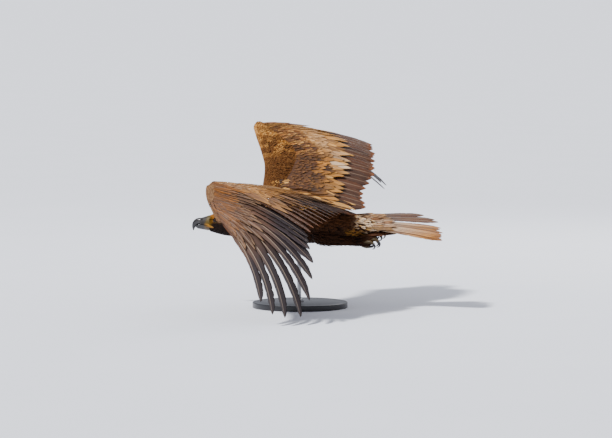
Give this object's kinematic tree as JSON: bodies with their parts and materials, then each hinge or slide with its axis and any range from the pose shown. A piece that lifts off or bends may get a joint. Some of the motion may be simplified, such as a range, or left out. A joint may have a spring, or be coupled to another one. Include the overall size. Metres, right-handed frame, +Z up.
{
  "type": "golden eagle in flight on a display stand",
  "caption": "Life-size golden eagle in banking flight with drooping wings and half-spread tail, held above a round base by one rod.",
  "frame": {"origin": "centre of the underside of the stand's round base", "axes": "+Z up; -X is the way the bill points; the left wing hangs on the -Y side and the longest extent, the wings, lies along Y"},
  "size_m": [0.8185, 1.2372, 0.5804],
  "materials": {
    "body_plumage": "very dark brown body feathers",
    "crown_plumage": "tan and dark brown head feathers",
    "wing_plumage": "tawny, mottled wing coverts",
    "flight_plumage": "grey-brown flight feathers",
    "tail_plumage": "brown tail feathers streaked with cream",
    "cere": "waxy yellow skin",
    "bill": "slate-grey horn",
    "toe": "scaled dusky olive-yellow skin",
    "claw": "black horn",
    "eye": "wet dark brown",
    "stand_base": "satin dark lacquer",
    "stand_rod": "satin steel"
  },
  "bodies": {
    "root": {"torso": "body_plumage", "neck": "body_plumage", "head": "crown_plumage", "cere": "cere", "bill_upper": "bill", "bill_lower": "bill", "tail": "tail_plumage", "eye_left": "eye", "eye_right": "eye", "wing_left_arm": "wing_plumage", "wing_right_arm": "wing_plumage", "wing_left_hand": "flight_plumage", "wing_right_hand": "flight_plumage", "leg_left_thigh": "body_plumage", "leg_right_thigh": "body_plumage", "leg_left_tarsus": "body_plumage", "leg_right_tarsus": "body_plumage", "leg_left_foot": "toe", "leg_left_claw_inner": "claw", "leg_left_claw_middle": "claw", "leg_left_claw_outer": "claw", "leg_left_claw_rear": "claw", "leg_right_foot": "toe", "leg_right_claw_inner": "claw", "leg_right_claw_middle": "claw", "leg_right_claw_outer": "claw", "leg_right_claw_rear": "claw", "stand_base": "stand_base", "stand_rod": "stand_rod"}
  },
  "joints": []
}
